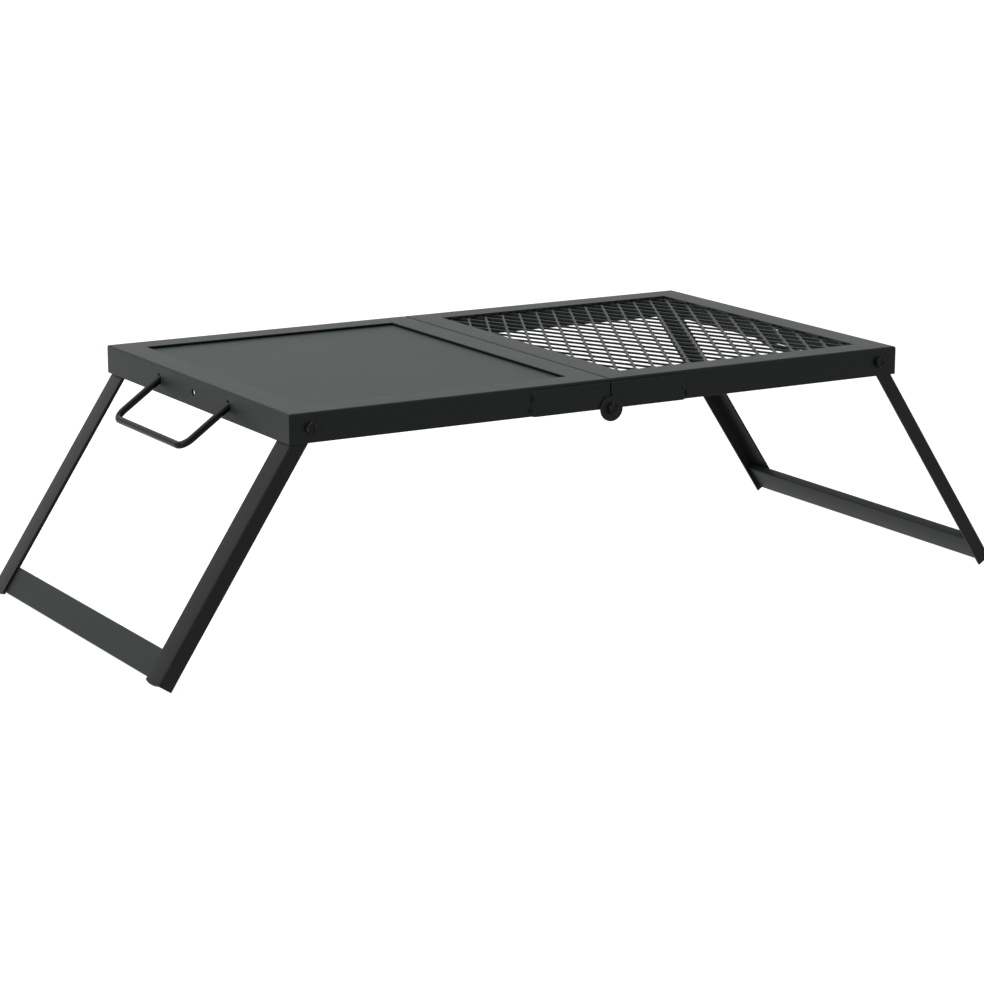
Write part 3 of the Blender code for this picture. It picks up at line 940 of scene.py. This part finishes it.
@dataclass
class DeckHinge:
    """One hinge of the deck: two straps with tacked ends, cover disc, washer, bolt and nut.

    The tacks' shift is the share of their radius by which they stand off the wall.
    """

    side: Side
    edge: float = 0.0004
    seam_trim: float = 0.0008
    end_slope: float = 0.0040
    tack_slant: float = -0.0012
    tack_ripple: float = 0.0021
    tack_shift: float = 0.1
    tacks: tuple[Tack, ...] = (
        Tack(low=0.58, high=0.84, inboard=0.0006, radius=0.0026),
        Tack(low=0.36, high=0.54, inboard=0.0036, radius=0.0016),
        Tack(low=0.15, high=0.32, inboard=-0.0036, radius=0.0024),
    )

    def build(self) -> None:
        """Build the hinge's pieces."""
        prefix = self.side.label + "_hinge"
        for half in Half:
            node = f"{self.side.label}_{half.label}_strap"
            self._strap(half, node)
            self._strap_welds(half, node)
        finish_solid(prefix + "_disc", BLACK_COAT, self.edge)
        finish_solid(prefix + "_washer", BLACK_HARDWARE, self.edge)
        BoltSet(prefix, self.side).build()

    def _strap(self, half: Half, node: str) -> None:
        """Finish one strap, its seam end filed back for a clear slit and its far end sloped.

        Args:
            half: The half that the strap belongs to.
            node: The strap's solid.
        """
        bm = solid_copy(node)
        low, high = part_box(node)
        seam_x = half.value * SEAM_HALF
        end_x = half.outer(low.x, high.x)
        outer_y = self.side.outer(low.y, high.y)
        for vertex in bm.verts:
            if vertex.co.z > WALL_BOTTOM and abs(vertex.co.x - seam_x) < self.seam_trim / 2:
                vertex.co.x += half.value * self.seam_trim
            elif max(abs(vertex.co.x - end_x), abs(vertex.co.y - outer_y)) < MERGE_DISTANCE:
                vertex.co.x -= half.value * self.end_slope
        finish_solid(node, BLACK_COAT, self.edge, bm)

    def _strap_welds(self, half: Half, node: str) -> None:
        """Lay the tack welds that join a strap's far end to the wall.

        Args:
            half: The half that the strap belongs to.
            node: The strap's solid.
        """
        low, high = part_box(node)
        height = high.z - WALL_BOTTOM
        bm = bmesh.new()
        for tack in self.tacks:
            rise = (high.y - low.y) * min(max(tack.inboard / self.end_slope, 0.0), 1.0)
            x = half.outer(low.x, high.x) - half.value * tack.inboard
            y = self.side.value * (DECK_HALF_WIDTH + rise + tack.radius * self.tack_shift)
            foot = Vector((x, y, WALL_BOTTOM + height * tack.low))
            top = Vector((x + half.value * self.tack_slant, y, WALL_BOTTOM + height * tack.high))
            WeldBead(tack.radius, self.tack_ripple).lay(bm, foot, top)
        add_piece(node + "_weld", closed_shell(bm), half.body, WELD_COAT)


@dataclass
class LegFrame:
    """One folding leg frame: two angle legs, the flat tube between them and their pivots.

    The beads' shift is the share of their radius by which they reach in over the tube, and each
    bead's two shares say where it starts and stops along its edge.
    """

    end: End
    leg_edge: float = 0.0004
    bar_edge: float = 0.0003
    end_reach: float = 0.0005
    bead_radius: float = 0.0016
    bead_shift: float = 0.3
    lower_bead: tuple[float, float] = (0.08, 0.92)
    upper_bead: tuple[float, float] = (0.10, 0.75)

    def build(self) -> None:
        """Build the leg frame's pieces."""
        label = self.end.label
        for side in Side:
            node = f"{side.label}_{label}_leg"
            finish_solid(node, LEG_COAT, self.leg_edge)
            BoltSet(node, side).build()
        bar = label + "_crossbar"
        finish_solid(bar, BLACK_COAT, self.bar_edge)
        self._crossbar_welds(bar)

    def _crossbar_welds(self, bar: str) -> None:
        """Lay the beads that join the crossbar's ends to the legs.

        Args:
            bar: The crossbar's solid.
        """
        end_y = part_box(bar)[1].y
        points = [vertex.co for vertex in frame["nodes"][bar].data.vertices]
        outline = [point for point in points if abs(point.y - end_y) < self.end_reach]
        lowest = min(outline, key=lambda point: point.z)
        highest = max(outline, key=lambda point: point.z)
        nearest = min(outline, key=lambda point: self.end.value * point.x)
        bead = WeldBead(self.bead_radius)
        bm = bmesh.new()
        for side in Side:
            y = side.value * (end_y - self.bead_radius * self.bead_shift)
            corner, below, above = (Vector((point.x, y, point.z)) for point in (nearest, lowest, highest))
            for target, (start, stop) in ((below, self.lower_bead), (above, self.upper_bead)):
                bead.lay(bm, corner.lerp(target, start), corner.lerp(target, stop))
        add_piece(bar + "_welds", closed_shell(bm), body_of(bar), BLACK_COAT)


@dataclass
class WireHandle:
    """A carry handle bent from round wire, loose in two holes of an end wall."""

    end: End
    wire_radius: float = 0.0047625
    arm: float = 0.080
    droop: float = radians(35.0)
    bend_radius: float = 0.016
    bend_steps: int = 12
    tail_inset: float = 0.012
    tail_length: float = 0.017
    tail_bend: float = 0.006
    tail_steps: int = 8
    chamfer: float = 0.0004
    chamfer_scale: float = 0.9
    segments: int = 24

    def build(self) -> None:
        """Build the handle from its first tail to its last."""
        out = Vector((self.end.value * cos(self.droop), 0.0, -sin(self.droop)))
        across = Vector((0.0, 1.0, 0.0))
        reach = HANDLE_SPREAD / 2 + self.tail_length
        start = handle_pivot(self.end) - out * self.tail_inset - across * reach
        tail = self.tail_length - self.tail_bend - self.chamfer
        arm = self.arm + self.tail_inset - self.tail_bend - self.bend_radius
        grip = HANDLE_SPREAD - 2 * self.bend_radius
        bm = bmesh.new()
        wire = RoundBar(bm, start, across, self.wire_radius * self.chamfer_scale, self.segments)
        wire.run(self.chamfer, 1.0 / self.chamfer_scale)
        wire.run(tail)
        for towards, radius, steps, length in (
            (out, self.tail_bend, self.tail_steps, arm),
            (across, self.bend_radius, self.bend_steps, grip),
            (-out, self.bend_radius, self.bend_steps, arm),
            (across, self.tail_bend, self.tail_steps, tail),
        ):
            wire.bend(towards, radius, QUARTER_TURN, steps)
            wire.run(length)
        wire.run(self.chamfer, self.chamfer_scale)
        finish_solid(self.end.label + "_handle", GLOSS_WIRE, bm=closed_shell(bm))


@dataclass(frozen=True)
class SoftBox:
    """A square studio lamp."""

    name: str
    place: tuple[float, float, float]
    target: tuple[float, float, float]
    size: float
    power: float

    def light(self) -> None:
        """Hang the lamp and turn it to its target."""
        lamp = bpy.data.lights.new(self.name, "AREA")
        lamp.shape = "SQUARE"
        lamp.size = self.size
        lamp.energy = self.power
        item = linked(self.name, lamp)
        item.location = self.place
        item.rotation_euler = (Vector(self.target) - Vector(self.place)).to_track_quat("-Z", "Y").to_euler()


@dataclass
class Studio:
    """The white floor, the even light and the camera."""

    floor_reach: float = 30.0
    floor_plain: float = 0.92
    floor_shaded: tuple[float, float, float, float] = (0.42, 0.42, 0.42, 1.0)
    floor_bounce: tuple[float, float, float, float] = (0.18, 0.18, 0.18, 1.0)
    world_level: float = 0.38
    lamps: tuple[SoftBox, ...] = (
        SoftBox("key", place=(-1.6, 0.6, 2.6), target=(0.0, 0.0, 0.3), size=2.4, power=60.0),
        SoftBox("left_fill", place=(-3.0, -0.6, 0.9), target=(0.0, 0.0, 0.25), size=1.6, power=20.0),
    )
    camera_place: tuple[float, float, float] = (-2.08146, -3.53610, 0.74409 + DECK_TOP)
    camera_yaw: float = radians(59.688)
    camera_pitch: float = radians(12.998)
    camera_reach: float = 200.0
    focal_pixels: float = 3084.8
    image_pixels: float = 984.0
    sensor: float = 36.0

    def build(self) -> None:
        """Build the floor, the world, the lamps and the camera."""
        self._floor()
        self._world()
        for lamp in self.lamps:
            lamp.light()
        self._camera()

    def _floor(self) -> None:
        """Lay the floor, which shows white and sends little light back up."""
        bm = bmesh.new()
        bmesh.ops.create_grid(bm, x_segments=1, y_segments=1, size=self.floor_reach)
        mesh = bpy.data.meshes.new("floor")
        bm.to_mesh(mesh)
        bm.free()
        tree = ShaderTree(bpy.data.materials.new("floor_paper"))
        shaded = tree.add("ShaderNodeBsdfDiffuse", {}, {"Color": self.floor_shaded})
        plain = tree.add("ShaderNodeEmission", {}, {"Strength": self.floor_plain})
        seen = tree.add("ShaderNodeAddShader", {}, {0: shaded.outputs[0], 1: plain.outputs[0]})
        dull = tree.add("ShaderNodeBsdfDiffuse", {}, {"Color": self.floor_bounce})
        rays = tree.background_rays()
        shown = tree.add("ShaderNodeMixShader", {}, {0: rays, 1: dull.outputs[0], 2: seen.outputs[0]})
        tree.add("ShaderNodeOutputMaterial", {}, {"Surface": shown.outputs[0]})
        mesh.materials.append(tree.owner)
        floor = linked("floor", mesh)

    def _world(self) -> None:
        """Light the object evenly and show white behind it."""
        world = bpy.data.worlds.new("studio")
        bpy.context.scene.world = world
        tree = ShaderTree(world)
        soft = tree.add("ShaderNodeBackground", {}, {"Color": WHITE, "Strength": self.world_level})
        plain = tree.add("ShaderNodeBackground", {}, {"Color": WHITE, "Strength": 1.0})
        rays = tree.background_rays()
        mix = tree.add("ShaderNodeMixShader", {}, {0: rays, 1: soft.outputs[0], 2: plain.outputs[0]})
        tree.add("ShaderNodeOutputWorld", {}, {"Surface": mix.outputs[0]})

    def _camera(self) -> None:
        """Set the camera at the photograph's viewing angle."""
        lens = bpy.data.cameras.new("camera")
        lens.sensor_width = self.sensor
        lens.lens = self.focal_pixels * self.sensor / self.image_pixels
        lens.clip_end = self.camera_reach
        camera = linked("camera", lens)
        camera.location = self.camera_place
        camera.rotation_euler = (QUARTER_TURN - self.camera_pitch, 0.0, self.camera_yaw - QUARTER_TURN)
        bpy.context.scene.camera = camera


def main() -> None:
    """Build the studio and every sub-assembly of the grill."""
    logging.basicConfig(level=logging.INFO, format="%(message)s")
    bpy.context.scene.view_settings.view_transform = "Standard"
    Studio().build()
    for half in Half:
        DeckHalf(half).build()
    for side in Side:
        DeckHinge(side).build()
    for end in End:
        LegFrame(end).build()
        WireHandle(end).build()


if __name__ == "__main__":
    main()
